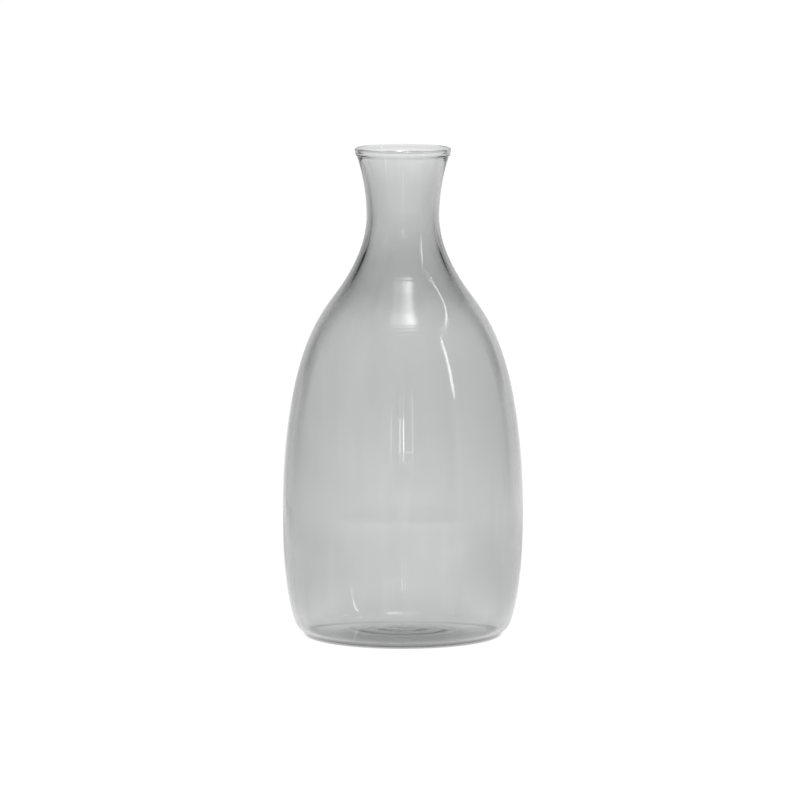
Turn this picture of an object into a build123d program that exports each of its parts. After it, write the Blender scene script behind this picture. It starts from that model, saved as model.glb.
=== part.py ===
from build123d import *
import os
from math import cos, radians, sin

# Bottle vase of blown glass, in millimetres: axis on Z, standing on Z = 0.

os.makedirs("parts", exist_ok=True)

# Outside of the glass. A rise is counted from the level below it, the first from the ground;
# a drop is counted from the level above it, the first from the top. The shoulder has what is left between.
vase_height = 250.0
foot_diameter = 91.5
heel_radius = 10.5
heel_lean = 18.7
heel_diameter = 117.5
heel_rise = 20.0
belly_diameter = 123.2
belly_rise = 39.0
flank_diameter = 115.2
flank_rise = 58.0
lip_diameter = 49.2
crease_diameter = 47.0
crease_drop = 4.3
throat_diameter = 37.1
throat_drop = 30.5
collar_diameter = 64.3
collar_drop = 36.5
shoulder_diameter = 79.7
shoulder_drop = 10.7

# Thickness of the glass, square to its wall.
foot_wall = 1.8
heel_wall = 2.4
belly_wall = 2.35
flank_wall = 2.7
shoulder_wall = 2.7
collar_wall = 3.45
throat_wall = 2.85
crease_wall = 1.5
lip_thickness = 2.5

# Underside: a flat ring to stand on, round a floor that is pushed up.
foot_ring_width = 6.0
punt_rise = 2.3
floor_thickness = 2.4

# Lip: a round bead, pinched in under its outer edge, on a low swelling band that stands out over the neck.
pinch_turn = 75.0
band_bulge = 0.2
band_step = 0.1

upright = Vector(0, 0, 1)
outward = Vector(1, 0, 0)
even_pull = (1, 1)


def at(diameter, height):
    """Point of the section at a diameter and a height."""
    return Vector(diameter / 2, 0, height)


def inside(line, point, wall):
    """Point level with a point of the outer line, one wall thickness further in."""
    slope = line.tangent_at(line.param_at_point(point))
    return point - outward * (wall / slope.Z)


def turned(*lines):
    """Solid of the closed section that the lines bound, turned about the axis of the vase."""
    return revolve(make_face(lines), Axis.Z)


# Levels of the outer line.
heel_height = heel_rise
belly_height = heel_height + belly_rise
flank_height = belly_height + flank_rise
crease_height = vase_height - crease_drop
throat_height = crease_height - throat_drop
collar_height = throat_height - collar_drop
shoulder_height = collar_height - shoulder_drop

heel = at(heel_diameter, heel_height)
belly = at(belly_diameter, belly_height)
flank = at(flank_diameter, flank_height)
shoulder = at(shoulder_diameter, shoulder_height)
collar = at(collar_diameter, collar_height)
throat = at(throat_diameter, throat_height)
crease = at(crease_diameter, crease_height)

# Round of the heel: an arc that leaves the ground at the foot ring and ends on the lean of the wall.
foot = at(foot_diameter, 0)
heel_centre = foot + upright * heel_radius
heel_out = Vector(cos(radians(heel_lean)), 0, -sin(radians(heel_lean)))
heel_slope = Vector(sin(radians(heel_lean)), 0, cos(radians(heel_lean)))
inner_heel_radius = heel_radius - foot_wall
inner_foot = foot + upright * foot_wall
heel_end = heel_centre + heel_out * heel_radius
inner_heel_end = heel_centre + heel_out * inner_heel_radius
heel_round = TangentArc(foot, heel_end, tangent=outward)
inner_heel_round = TangentArc(inner_foot, inner_heel_end, tangent=outward)

# Side of the vase outside and inside, one flowing line each from the heel to the throat.
side = Spline(
    heel_end, heel, belly, flank, shoulder, collar, throat,
    tangents=(heel_slope, upright),
    tangent_scalars=even_pull,
)
inner_heel = inside(side, heel, heel_wall)
inner_flank = inside(side, flank, flank_wall)
inner_throat = inside(side, throat, throat_wall)
inner_side = Spline(
    inner_heel_end,
    inner_heel,
    inside(side, belly, belly_wall),
    inner_flank,
    inside(side, shoulder, shoulder_wall),
    inside(side, collar, collar_wall),
    inner_throat,
    tangents=(heel_slope, upright),
    tangent_scalars=even_pull,
)

# Flare of the neck, from the upright throat to the crease under the lip.
flare = TangentArc(throat, crease, tangent=upright)
inner_crease = inside(flare, crease, crease_wall)
inner_flare = TangentArc(inner_throat, inner_crease, tangent=upright)


def make_base():
    """Heel, foot ring and pushed-up floor."""
    ring_edge = foot - outward * foot_ring_width
    punt_top = upright * punt_rise
    floor_top = upright * (punt_rise + floor_thickness)
    punt = Spline(punt_top, ring_edge, tangents=(outward, outward))
    floor = Spline(floor_top, inner_foot, tangents=(outward, outward))
    return turned(
        punt,
        Line(ring_edge, foot),
        heel_round,
        side.trim(heel_end, heel),
        Line(heel, inner_heel),
        inner_side.trim(inner_heel_end, inner_heel),
        inner_heel_round,
        floor,
        Line(floor_top, punt_top),
    )


def make_wall(low, inner_low, high, inner_high):
    """Ring of the side wall between two levels."""
    return turned(
        side.trim(low, high),
        Line(high, inner_high),
        inner_side.trim(inner_low, inner_high),
        Line(inner_low, low),
    )


def make_neck():
    """Flared neck, from the throat to the crease."""
    return turned(
        flare,
        Line(crease, inner_crease),
        inner_flare,
        Line(inner_throat, throat),
    )


def make_lip_ring():
    """Rounded lip: the swelling band over the crease and the bead that closes the mouth."""
    bead_radius = lip_thickness / 2
    bead_middle = at(lip_diameter - lip_thickness, vase_height - bead_radius)
    bead_top = bead_middle + upright * bead_radius
    inner_edge = bead_middle - outward * bead_radius
    pinch_way = Vector(cos(radians(pinch_turn)), 0, -sin(radians(pinch_turn)))
    pinch = bead_middle + pinch_way * bead_radius
    under = crease + outward * band_step
    swell = (under + pinch) / 2 + outward * band_bulge
    return turned(
        Line(inner_crease, under),
        ThreePointArc(under, swell, pinch),
        ThreePointArc(pinch, bead_top, inner_edge),
        TangentArc(inner_edge, inner_crease, tangent=-upright),
    )


pieces = {
    "base": make_base(),
    "body": make_wall(heel, inner_heel, flank, inner_flank),
    "shoulder": make_wall(flank, inner_flank, throat, inner_throat),
    "neck": make_neck(),
    "lip_ring": make_lip_ring(),
}
for name, piece in pieces.items():
    export_step(piece, f"parts/{name}.step")
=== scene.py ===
from math import cos, pi, radians, sin

import bpy
import numpy as np
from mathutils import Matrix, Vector
from mathutils.bvhtree import BVHTree


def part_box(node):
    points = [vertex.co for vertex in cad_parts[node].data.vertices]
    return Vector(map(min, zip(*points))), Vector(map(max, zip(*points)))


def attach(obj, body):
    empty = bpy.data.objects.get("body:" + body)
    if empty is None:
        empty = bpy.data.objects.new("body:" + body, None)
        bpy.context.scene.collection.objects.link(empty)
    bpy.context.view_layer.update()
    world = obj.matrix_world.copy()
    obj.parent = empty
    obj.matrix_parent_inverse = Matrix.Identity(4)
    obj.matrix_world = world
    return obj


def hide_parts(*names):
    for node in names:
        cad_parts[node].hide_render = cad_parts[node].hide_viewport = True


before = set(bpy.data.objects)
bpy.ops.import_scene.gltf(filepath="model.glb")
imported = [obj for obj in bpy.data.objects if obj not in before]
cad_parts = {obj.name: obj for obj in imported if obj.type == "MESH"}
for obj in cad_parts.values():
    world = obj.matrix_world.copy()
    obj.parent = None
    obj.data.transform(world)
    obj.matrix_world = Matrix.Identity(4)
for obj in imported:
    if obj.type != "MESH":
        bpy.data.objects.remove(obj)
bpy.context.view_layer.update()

# Bottle vase of blown smoke-grey glass, in metres, standing on z = 0 with its axis on z.

# Drawing of the glass.
turning_steps = 216
side_gap = 0.0018
floor_gap = 0.0007
seam_clearance = 0.0001
axis_clearance = 0.00001
ripple_depth = 0.00015
ripple_step = 0.010
ripple_reach = 0.030
section_tolerance = 1e-7
merge_distance = 1e-6

# Lip, drawn from its edge inward and from its top down: crease, collar outside, hollow inside.
bead_radius = 0.00103
bead_steps = 26
bead_turns = (-3.0, 180.0)
collar_gap = 0.0003
lip_drawing = (
    (0.00104, 0.00415),
    (0.00116, 0.00415),
    (0.00046, 0.00368),
    (0.00022, 0.00185),
    (0.00188, 0.00185),
    (0.00174, 0.00267),
    (0.00212, 0.00348),
)

# Headings of the lip's line, outward and upward.
from_crease = (0.84, 0.55)
to_collar = (0.56, 1.37)
from_collar = (0.26, 0.62)
to_bead = (0.13, 0.99)
from_bead = (-0.2, -1.0)
to_inner_crease = (-0.41, -1.0)

# Below, a band is (from, to, softness), and an edge is (place, softness).

# Glass.
glass_bend = 1.5
smoke_tint = (0.456, 0.476, 0.465)
smoke_density = 206.0
clearness = 0.975
clearness_gain = 0.022
clear_streak = (0.5, 0.5)
swell_scale = 22.0
swell_height = 0.0001
streak_scale = 150.0
streak_draw = 0.12
streak_height = 0.0000015
smear_scale = 60.0
smear_edge = (0.6, 0.3)
smear_roughness = 0.008
rubbed_edge = (0.0004, 0.0004)
rubbed_roughness = 0.2
ring_step = 0.0021
ring_height = 0.000018
shoulder_rings = (0.1575, 0.164, 0.002)
neck_rings = (0.184, 0.188, 0.002)

# Photograph's viewpoint.
camera_distance = 3.2
camera_rise = 7.0
camera_reach = 20.0
orbit_height = 0.125
aim_height = 0.12057
axis_offset = -0.00148
lens_length = 281.5
sensor_width = 36.0

# Floor, in metres.
floor_radius = 0.55
floor_steps = 96
floor_drop = 0.0001
# Painted light of the ground on the floor, far to the sides and in front, with a painted brighter patch in
# front to the right.
front_edge = (-0.14, 0.12)
side_edge = (0.28, 0.12)
painted_right_light = 0.5
right_gain_edge = (0.06, 0.24)
right_gain_reach = (0.36, 0.1)
# Painted shade on the floor: behind the vase, round its heel, inside its foot ring and under its punt.
painted_shade_behind = 0.19
behind_start = (0.03, 0.04)
behind_width = (0.04, 0.02)
behind_reach = (0.12, 0.16)
painted_heel_shade = 0.45
heel_edge = (0.0503, 0.003)
heel_back_gain = 0.17
heel_back_edge = (0.0, 0.06)
painted_inside_shade = 0.6
inside_edge = (0.044, 0.004)
inside_back_gain = 0.3
inside_back_edge = (0.0, 0.04)
inside_side_gain = 0.25
inside_side_edge = (0.028, 0.02)
painted_punt_shade = 0.29
punt_edge = (0.0282, 0.01)

# Studio, in degrees: heading 0 is straight behind the vase, positive to the right.
ground_light = 1.03
ground_left = 0.62
ground_left_edge = (-31.0, 40.0)
ground_right = 0.88
ground_right_edge = (48.0, 16.0)
ground_gain = 0.06
ground_gain_band = (13.0, 40.0, 10.0)
ground_front = 0.55
ground_front_edge = (125.0, 50.0)
ground_front_gain = 0.85
ground_front_fall = (-9.0, 6.0)
ground_column = 0.28
ground_column_band = (-6.5, 7.0, 5.0)
viewer_side_edge = (40.0, 40.0)
viewer_horizon = (-1.9, 1.6)
far_horizon = (-5.5, 8.0)
sweep_rise = 4.5
sweep_edge = (10.0, 10.0)

room_light = 0.03
low_room_light = 0.28
low_room_edge = (12.0, 24.0)
left_panel_light = 0.6
left_panel_headings = (-132.0, -60.0, 7.0)
left_panel_rises = (0.5, 46.0, 4.0)
left_panel_fall = 0.4
left_panel_fall_edge = (15.0, 20.0)
right_panel_light = 0.6
right_panel_headings = (58.0, 126.0, 8.0)
right_panel_top = (46.0, 4.0)
right_panel_fall = 0.38
right_panel_fall_edge = (12.0, 16.0)
screen_light = 0.945
screen_headings = (-34.0, 39.0, 11.0)
screen_top = (26.0, 16.0)
screen_left_fall = 0.13
screen_left_edge = (-14.0, 26.0)
low_screen_headings = (-45.0, 50.0, 12.0)
low_screen_top = (2.5, 4.0)
ceiling_light = 1.2
ceiling_headings = (-78.0, 98.0, 20.0)
ceiling_edge = (31.0, 12.0)
ceiling_slope = 0.28
gap_shade = 0.9
left_gap_headings = (-58.0, -40.0, 7.0)
right_gap_headings = (42.0, 57.0, 6.0)
gap_rises = (3.5, 36.0, 5.0)

# Lamps: a spot is (heading, rise, reach).
strip_light = 8.5
strip_headings = (121.7, 124.2, 1.2)
strip_rises = (14.4, 38.5, 2.0)
cross_strip_headings = (81.0, 121.0, 8.0)
cross_strip_dimming = 0.7
cross_strip_dim_headings = (105.0, 121.0, 10.0)
cross_strip_middle = 92.0
cross_strip_lean = 0.18
cross_strip_rises = (45.8, 47.2, 1.0)
overhead_light = 4.8
overhead_rises = (54.5, 72.0, 3.0)
overhead_left_edge = (4.0, 32.0)
overhead_right_edge = (26.0, 14.0)
overhead_panel_light = 1.6
overhead_panel_band = (-27.0, 32.0, 16.0)
overhead_glow = 0.6
overhead_glow_spot = (170.0, 64.0, 40.0)
patch_light = 0.3
patch_spot = (-126.0, 20.0, 17.0)

# Window. Its bars are the sides of the frame and the sill, each with its headings and rises.
left_pane_light = 2.8
left_pane_headings = (-3.8, -1.8, 0.6)
right_pane_light = 7.0
right_pane_headings = (0.1, 1.4, 0.6)
pane_rises = (4.8, 11.9, 0.5)
upper_pane_share = 0.15
upper_pane_rises = (11.9, 18.0, 1.0)
bar_light = 1.8
window_bars = (
    ((-12.5, -11.3, 0.5), (4.8, 12.5, 1.0)),
    ((9.2, 10.4, 0.5), (4.8, 18.0, 1.0)),
    ((1.4, 10.0, 0.5), (4.6, 5.1, 0.3)),
)

# Turns of light in the render.
glass_bounces = 32
mirror_bounces = 16


def deselect():
    """Nothing selected, as every tool works on what is selected."""
    bpy.ops.object.select_all(action="DESELECT")


def joined_tree(names):
    """The CAD solids as one surface that straight lines can be tried against."""
    corners = []
    faces = []
    for name in names:
        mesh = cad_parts[name].data
        first = len(corners)
        corners += [vertex.co.copy() for vertex in mesh.vertices]
        faces += [[first + index for index in face.vertices] for face in mesh.polygons]
    return BVHTree.FromPolygons(corners, faces)


def section_points(name):
    """Corners of a CAD solid on its section, as radius and height, each once."""
    corners = [vertex.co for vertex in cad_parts[name].data.vertices]
    on_section = [
        corner for corner in corners
        if abs(corner.y) < section_tolerance and corner.x > -section_tolerance
    ]
    return sorted({(round(corner.x, 7), round(corner.z, 7)) for corner in on_section})


def two_faces(surface, points, start_of):
    """The points on the inner and those on the outer face of the glass, as seen from a start for each."""
    inner_points = []
    outer_points = []
    for radius, height in points:
        start = Vector(start_of(radius, height))
        heading = (Vector((radius, 0.0, height)) - start).normalized()
        near = surface.ray_cast(start, heading)[0]
        far = surface.ray_cast(start + heading, -heading)[0]
        reach = (Vector((radius, 0.0, height)) - start).length
        is_inner = reach < ((near - start).length + (far - start).length) / 2
        (inner_points if is_inner else outer_points).append((radius, height))
    return inner_points, outer_points


def flowing_line(points, gap, start_heading=None, end_heading=None):
    """Points about one gap apart on the smooth line through the given ones.

    An end without a heading runs on freely.
    """
    points = np.array(points)
    steps = np.diff(points, axis=0)
    runs = np.linalg.norm(steps, axis=1)
    count = len(points)
    rows = np.eye(count)
    wanted = np.zeros((count, 2))
    for i in range(1, count - 1):
        before, after = runs[i - 1], runs[i]
        rows[i, i - 1:i + 2] = after, 2 * (before + after), before
        wanted[i] = 3 * (after / before * steps[i - 1] + before / after * steps[i])
    for end, neighbour, heading in ((0, 1, start_heading), (count - 1, count - 2, end_heading)):
        if heading is None:
            rows[end, neighbour] = 1.0
            wanted[end] = 2 * steps[min(end, neighbour)] / runs[min(end, neighbour)]
        else:
            wanted[end] = heading
    headings = np.linalg.solve(rows, wanted)
    line = []
    for i in range(count - 1):
        pieces = max(1, round(runs[i] / gap))
        for share in np.arange(pieces) / pieces:
            rest = 1 - share
            line.append(
                points[i] * rest * rest * (1 + 2 * share)
                + points[i + 1] * share * share * (3 - 2 * share)
                + headings[i] * runs[i] * share * rest * rest
                - headings[i + 1] * runs[i] * share * share * rest
            )
    line.append(points[-1])
    return line


def lip_section(inner_crease):
    """The lip's section, from the crease outside, up the collar and round the bead, to the crease inside."""
    edge, _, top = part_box("lip_ring")[1]
    drawn = [(edge - inset, top - depth) for inset, depth in lip_drawing]
    crease, under, collar_low, collar_high, *hollow = drawn
    middle = np.array((edge - bead_radius, top - bead_radius))
    turns = np.radians(np.linspace(*bead_turns, bead_steps))
    bead = [middle + bead_radius * np.array((cos(turn), sin(turn))) for turn in turns]
    return [
        crease,
        *flowing_line([under, collar_low], collar_gap, from_crease, to_collar)[:-1],
        *flowing_line([collar_low, collar_high], collar_gap, from_collar, to_bead),
        *bead[:-1],
        *flowing_line([bead[-1], *hollow, inner_crease], collar_gap, from_bead, to_inner_crease),
    ]


def floor_ripple(radius):
    """Depth of the low rings that the glassmaker's work has left in the floor."""
    fade_start = ripple_reach - ripple_step / 2
    share = np.interp(radius, (0.0, fade_start, ripple_reach), (1.0, 1.0, 0.0))
    return share * ripple_depth * sin(pi * radius / ripple_step) ** 2


def glass_section():
    """The glass's section, from the middle of the underside, round the lip, to the middle of the floor."""
    surface = joined_tree(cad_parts)
    base = section_points("base")
    ring = [radius for radius, height in base if height < merge_distance]
    ring_inside, ring_outside = min(ring), max(ring)
    base_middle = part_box("base")[1][2] / 2
    along = sorted(base, key=sum)
    inside, outside = two_faces(
        surface,
        along,
        lambda radius, height: (min(max(radius, axis_clearance), ring_outside), 0.0, base_middle),
    )
    floor = [point for point in inside if point[0] <= ring_outside]
    underside = [point for point in outside if point[0] <= ring_inside]
    inside = inside[len(floor) - 1:]
    outside = outside[len(underside):]
    for name in ("body", "shoulder", "neck"):
        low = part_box(name)[0][2] + seam_clearance
        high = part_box(name)[1][2] - seam_clearance
        upward = sorted(section_points(name), key=lambda point: point[1])
        inner_points, outer_points = two_faces(
            surface, upward, lambda radius, height: (0.0, 0.0, min(max(height, low), high))
        )
        inside += inner_points[1:]
        outside += outer_points[1:]

    flat, back = (1.0, 0.0), (-1.0, 0.0)
    section = flowing_line(underside, side_gap, flat, flat)
    section += flowing_line(outside, side_gap, flat)
    section += lip_section(inside[-1])
    section += flowing_line(inside[::-1], side_gap, None, back)[1:]
    for radius, height in flowing_line(floor[::-1], floor_gap, back, back)[1:]:
        section.append((radius, height - floor_ripple(radius)))
    return section


def make_glass_vessel():
    """The whole vase as one wall of glass: its section is drawn as a line and turned about the axis."""
    deselect()
    section = glass_section()
    bpy.ops.mesh.primitive_plane_add(size=0.001)
    vessel = bpy.context.object
    vessel.name = "glass_vessel"
    bpy.ops.object.mode_set(mode="EDIT")
    bpy.ops.mesh.merge(type="CENTER")
    here = Vector((section[0][0], 0.0, section[0][1]))
    bpy.ops.transform.translate(value=here)
    for radius, height in section[1:]:
        there = Vector((max(radius, 0.0), 0.0, height))
        bpy.ops.mesh.extrude_vertices_move(TRANSFORM_OT_translate={"value": there - here})
        here = there
    bpy.ops.mesh.select_all(action="SELECT")
    bpy.ops.mesh.spin(steps=turning_steps, angle=2 * pi, center=(0, 0, 0), axis=(0, 0, 1))
    bpy.ops.mesh.select_all(action="SELECT")
    bpy.ops.mesh.remove_doubles(threshold=merge_distance)
    bpy.ops.mesh.normals_make_consistent(inside=False)
    bpy.ops.object.mode_set(mode="OBJECT")
    bpy.ops.object.shade_smooth()
    return vessel


class Feed:
    """A socket that gives a value. Arithmetic on it adds Math nodes."""

    def __init__(self, tree, socket=None):
        self.tree = tree
        self.socket = socket

    def node(self, kind, settings, sockets, output=0):
        """A new node of a kind: its settings are made first, then its sockets are filled or linked."""
        made = self.tree.nodes.new(kind)
        for name, setting in settings.items():
            setattr(made, name, setting)
        for name, given in sockets.items():
            if isinstance(given, Feed):
                self.tree.links.new(given.socket, made.inputs[name])
            else:
                made.inputs[name].default_value = given
        return Feed(self.tree, made.outputs[output] if len(made.outputs) else None)

    def math(self, operation, first, second=0.0):
        """A Math node on one or two values."""
        return self.node("ShaderNodeMath", {"operation": operation}, {0: first, 1: second})

    def __add__(self, other):
        return self.math("ADD", self, other)

    def __radd__(self, other):
        return self.math("ADD", other, self)

    def __sub__(self, other):
        return self.math("SUBTRACT", self, other)

    def __rsub__(self, other):
        return self.math("SUBTRACT", other, self)

    def __mul__(self, other):
        return self.math("MULTIPLY", self, other)

    def __rmul__(self, other):
        return self.math("MULTIPLY", other, self)

    def __abs__(self):
        return self.math("ABSOLUTE", self)

    def past(self, limit, softness):
        """0 before a limit and 1 past it, smooth over the softness."""
        return self.node(
            "ShaderNodeMapRange",
            {"interpolation_type": "SMOOTHSTEP"},
            {"Value": self, "From Min": limit - softness / 2, "From Max": limit + softness / 2},
            "Result",
        )

    def short_of(self, limit, softness):
        """1 before a limit and 0 past it, smooth over the softness."""
        return 1 - self.past(limit, softness)

    def between(self, low, high, softness):
        """1 between two limits and 0 outside them."""
        return self.past(low, softness) * self.short_of(high, softness)

    def covered(self, share, cover):
        """This value where the share is 0, the cover's where it is 1."""
        return self + share * (cover - self)

    def in_degrees(self):
        """This angle in degrees."""
        return self * (180 / pi)


def new_finish(name):
    """An empty material, ready for its nodes."""
    finish = bpy.data.materials.new(name)
    finish.use_nodes = True
    finish.node_tree.nodes.clear()
    return finish


def make_smoke_glass():
    """Smoke-grey blown glass: darker where it is thicker, faintly uneven, and rubbed where it stands."""
    finish = new_finish("smoke_glass")
    sheet = Feed(finish.node_tree)
    place = sheet.node("ShaderNodeTexCoord", {}, {}, "Object")
    height = sheet.node("ShaderNodeSeparateXYZ", {}, {0: place}, "Z")
    draw = {"Vector": place, "Scale": (1.0, 1.0, streak_draw)}
    drawn_out = sheet.node("ShaderNodeMapping", {}, draw, "Vector")

    def noise(vector, scale, detail):
        """Soft random patches."""
        sockets = {"Vector": vector, "Scale": scale, "Detail": detail}
        return sheet.node("ShaderNodeTexNoise", {}, sockets, "Fac")

    streaks = noise(drawn_out, streak_scale, 2.0)
    swell = noise(place, swell_scale, 1.0)
    smears = noise(place, smear_scale, 3.0)

    # Rings left by the jacks on the shoulder and at the root of the neck.
    rings = sheet.math("SINE", height * (2 * pi / ring_step)) * 0.5 + 0.5
    ringed = height.between(*shoulder_rings) + height.between(*neck_rings)
    relief = swell * swell_height + streaks * streak_height + rings * ringed * ring_height
    bump = {"Strength": 1.0, "Distance": 1.0, "Height": relief}
    surface = sheet.node("ShaderNodeBump", {}, bump, "Normal")

    rubbed = height.short_of(*rubbed_edge)
    glass = sheet.node(
        "ShaderNodeBsdfPrincipled",
        {},
        {
            "Base Color": clearness + clearness_gain * streaks.past(*clear_streak),
            "Roughness": smear_roughness * smears.past(*smear_edge) + rubbed_roughness * rubbed,
            "IOR": glass_bend,
            "Transmission Weight": 1.0,
            "Normal": surface,
        },
    )
    smoke = {"Color": (*smoke_tint, 1.0), "Density": smoke_density}
    depth = sheet.node("ShaderNodeVolumeAbsorption", {}, smoke)
    sheet.node("ShaderNodeOutputMaterial", {}, {"Surface": glass, "Volume": depth})
    return finish


def make_camera():
    """The photograph's viewpoint."""
    out = camera_distance * cos(radians(camera_rise))
    up = camera_distance * sin(radians(camera_rise))
    stand = Vector((axis_offset, -out, orbit_height + up))
    aim = Vector((axis_offset, 0.0, aim_height))
    turn = (aim - stand).to_track_quat("-Z", "Y").to_euler()
    bpy.ops.object.camera_add(location=stand, rotation=turn)
    camera = bpy.context.object
    camera.data.lens = lens_length
    camera.data.sensor_width = sensor_width
    camera.data.clip_end = camera_reach
    bpy.context.scene.camera = camera


def ground_tone(heading):
    """Light of the ground far from the vase, in the studio and as painted light on the floor: white in the
    view, dimmer to both sides and in front.
    """
    tone = ground_light + (ground_left - ground_light) * heading.short_of(*ground_left_edge)
    tone = tone + (ground_right - ground_light) * heading.past(*ground_right_edge)
    tone = tone + ground_gain * heading.between(*ground_gain_band)
    return tone.covered(abs(heading).past(*ground_front_edge), ground_front)


def make_floor():
    """Plain pale disc, a hair under the vase, whose glow holds painted light away from it and painted shade
    under and behind it.
    """
    deselect()
    under = (0.0, 0.0, -floor_drop)
    bpy.ops.mesh.primitive_circle_add(
        vertices=floor_steps, radius=floor_radius, fill_type="NGON", location=under
    )
    floor = bpy.context.object
    floor.name = "floor"
    finish = new_finish("pale_floor_painted_light_and_shade")
    sheet = Feed(finish.node_tree)
    place = sheet.node("ShaderNodeTexCoord", {}, {}, "Object")
    across, back = (sheet.node("ShaderNodeSeparateXYZ", {}, {0: place}, axis) for axis in "XY")
    radius = sheet.node("ShaderNodeVectorMath", {"operation": "LENGTH"}, {0: place}, "Value")
    heading = sheet.math("ARCTAN2", across, back).in_degrees()

    # Far to the sides and in front, the floor has the painted light of the ground, brighter in front, with a
    # painted brighter patch in front to the right.
    in_front = back.short_of(*front_edge)
    far = sheet.math("MAXIMUM", abs(across).past(*side_edge), in_front)
    tone = ground_light + far * (ground_tone(heading) - ground_light)
    tone = tone + ground_front_gain * in_front * abs(heading).past(*ground_front_edge)
    to_the_right = across.past(*right_gain_edge) * radius.short_of(*right_gain_reach)
    tone = tone + painted_right_light * in_front * to_the_right

    # Painted shade behind the vase, round its heel, inside its foot ring and under its punt.
    behind = back.past(*behind_start) * abs(across).short_of(*behind_width)
    tone = tone - painted_shade_behind * behind * radius.short_of(*behind_reach)
    painted_tone_at_heel = painted_heel_shade + heel_back_gain * back.past(*heel_back_edge)
    tone = tone.covered(radius.short_of(*heel_edge), painted_tone_at_heel)
    inside = painted_inside_shade + inside_back_gain * back.past(*inside_back_edge)
    inside = inside + inside_side_gain * abs(across).past(*inside_side_edge)
    tone = tone.covered(radius.short_of(*inside_edge), inside)
    tone = tone.covered(radius.short_of(*punt_edge), painted_punt_shade)
    glow = sheet.node("ShaderNodeEmission", {}, {"Color": tone})
    sheet.node("ShaderNodeOutputMaterial", {}, {"Surface": glow})
    floor.data.materials.append(finish)


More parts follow.
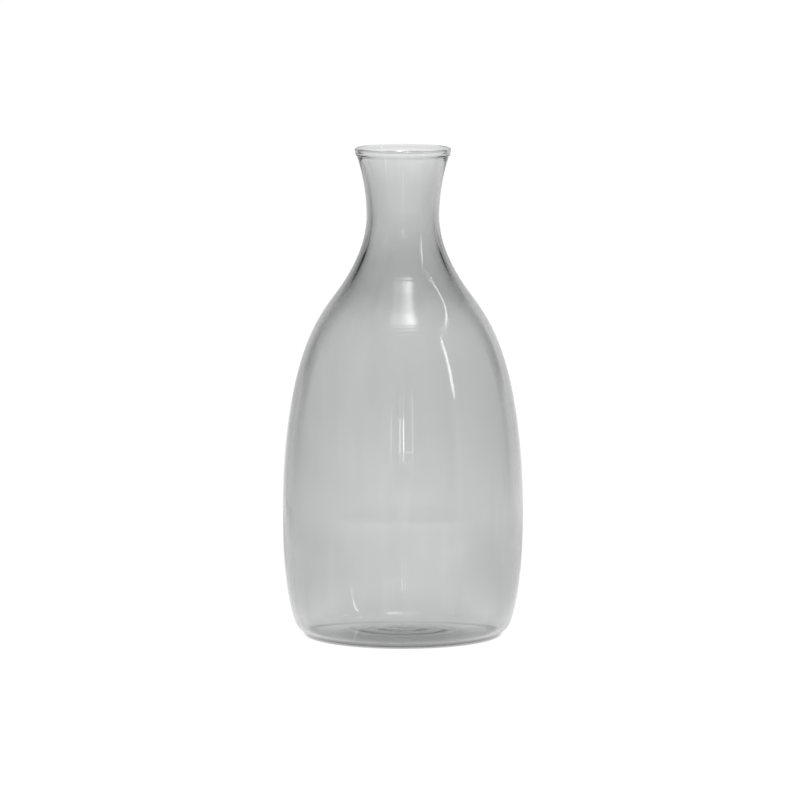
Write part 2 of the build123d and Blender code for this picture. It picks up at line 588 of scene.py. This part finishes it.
def make_studio():
    """Plain soft studio: white screen behind, paler sides, dim room in front, lamps as bright shapes."""
    world = bpy.data.worlds.new("studio")
    bpy.context.scene.world = world
    world.use_nodes = True
    world.node_tree.nodes.clear()
    sheet = Feed(world.node_tree)
    toward = sheet.node("ShaderNodeTexCoord", {}, {}, "Generated")
    right, back, up = (sheet.node("ShaderNodeSeparateXYZ", {}, {0: toward}, axis) for axis in "XYZ")
    heading = sheet.math("ARCTAN2", right, back).in_degrees()
    from_viewer = sheet.math("ARCTAN2", right, back * -1).in_degrees()
    rise = sheet.math("ARCSINE", up).in_degrees()

    def spot(spot_heading, spot_rise, reach):
        """1 in the middle of a soft round spot, falling to 0 at its reach."""
        level = cos(radians(spot_rise))
        middle = (
            level * sin(radians(spot_heading)),
            level * cos(radians(spot_heading)),
            sin(radians(spot_rise)),
        )
        sockets = {0: toward, 1: middle}
        near = sheet.node("ShaderNodeVectorMath", {"operation": "DOT_PRODUCT"}, sockets, "Value")
        return sheet.math("ARCCOSINE", near).in_degrees().short_of(reach / 2, reach)

    # Walls, screen and ceiling.
    tone = room_light + low_room_light * rise.short_of(*low_room_edge)
    left_panel = heading.between(*left_panel_headings) * rise.between(*left_panel_rises)
    left_tone = left_panel_light - left_panel_fall * rise.past(*left_panel_fall_edge)
    tone = tone.covered(left_panel, left_tone)
    right_panel = heading.between(*right_panel_headings) * rise.short_of(*right_panel_top)
    right_tone = right_panel_light - right_panel_fall * rise.past(*right_panel_fall_edge)
    tone = tone.covered(right_panel, right_tone)
    screen_tone = screen_light - screen_left_fall * heading.short_of(*screen_left_edge)
    screen = heading.between(*screen_headings) * rise.short_of(*screen_top)
    tone = tone.covered(screen, screen_tone)
    ceiling = (rise - abs(heading) * ceiling_slope).past(*ceiling_edge) * heading.between(*ceiling_headings)
    tone = tone.covered(ceiling, ceiling_light)
    left_gap = heading.between(*left_gap_headings)
    right_gap = heading.between(*right_gap_headings)
    gaps = sheet.math("MAXIMUM", left_gap, right_gap)
    tone = tone * (1 - gap_shade * gaps * rise.between(*gap_rises))
    low_screen = heading.between(*low_screen_headings) * rise.short_of(*low_screen_top)
    tone = tone.covered(low_screen, screen_tone)

    # Strip lamps to the right, a lamp overhead and a pale patch to the left.
    strip = heading.between(*strip_headings) * rise.between(*strip_rises)
    dimming = cross_strip_dimming * heading.between(*cross_strip_dim_headings)
    leaning_rise = rise + (heading - cross_strip_middle) * cross_strip_lean
    cross_strip = heading.between(*cross_strip_headings) - dimming
    cross_strip = cross_strip * leaning_rise.between(*cross_strip_rises)
    tone = tone + strip_light * sheet.math("MAXIMUM", strip, cross_strip)
    overhead = rise.between(*overhead_rises)
    overhead_core = from_viewer.past(*overhead_left_edge) * from_viewer.short_of(*overhead_right_edge)
    tone = tone + overhead_light * overhead_core * overhead
    tone = tone + overhead_panel_light * from_viewer.between(*overhead_panel_band) * overhead
    tone = tone + overhead_glow * spot(*overhead_glow_spot)
    tone = tone + patch_light * spot(*patch_spot)

    # Window on the viewer's side: two bright panes, a thin frame and its sill.
    panes = from_viewer.between(*left_pane_headings) * left_pane_light
    panes = panes + from_viewer.between(*right_pane_headings) * right_pane_light
    tone = tone + panes * (rise.between(*pane_rises) + upper_pane_share * rise.between(*upper_pane_rises))
    for bar_headings, bar_rises in window_bars:
        tone = tone + from_viewer.between(*bar_headings) * rise.between(*bar_rises) * bar_light

    # Ground: its edge is sharp on the viewer's side and soft elsewhere, and sweeps up a little behind.
    viewer_side = abs(from_viewer).short_of(*viewer_side_edge)
    swept_rise = rise - sweep_rise * abs(heading).short_of(*sweep_edge)
    below = swept_rise.short_of(*far_horizon).covered(viewer_side, rise.short_of(*viewer_horizon))
    ground = ground_tone(heading) + from_viewer.between(*ground_column_band) * ground_column
    in_front = abs(heading).past(*ground_front_edge)
    ground = ground + ground_front_gain * in_front * rise.short_of(*ground_front_fall)
    tone = tone.covered(below, ground)
    light = sheet.node("ShaderNodeBackground", {}, {"Color": tone})
    sheet.node("ShaderNodeOutputWorld", {}, {"Surface": light})


vessel = make_glass_vessel()
vessel.data.materials.append(make_smoke_glass())
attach(vessel, "root")
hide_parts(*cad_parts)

make_camera()
make_floor()
make_studio()
scene = bpy.context.scene
scene.view_settings.view_transform = "Standard"
scene.cycles.max_bounces = glass_bounces
scene.cycles.transmission_bounces = glass_bounces
scene.cycles.glossy_bounces = mirror_bounces
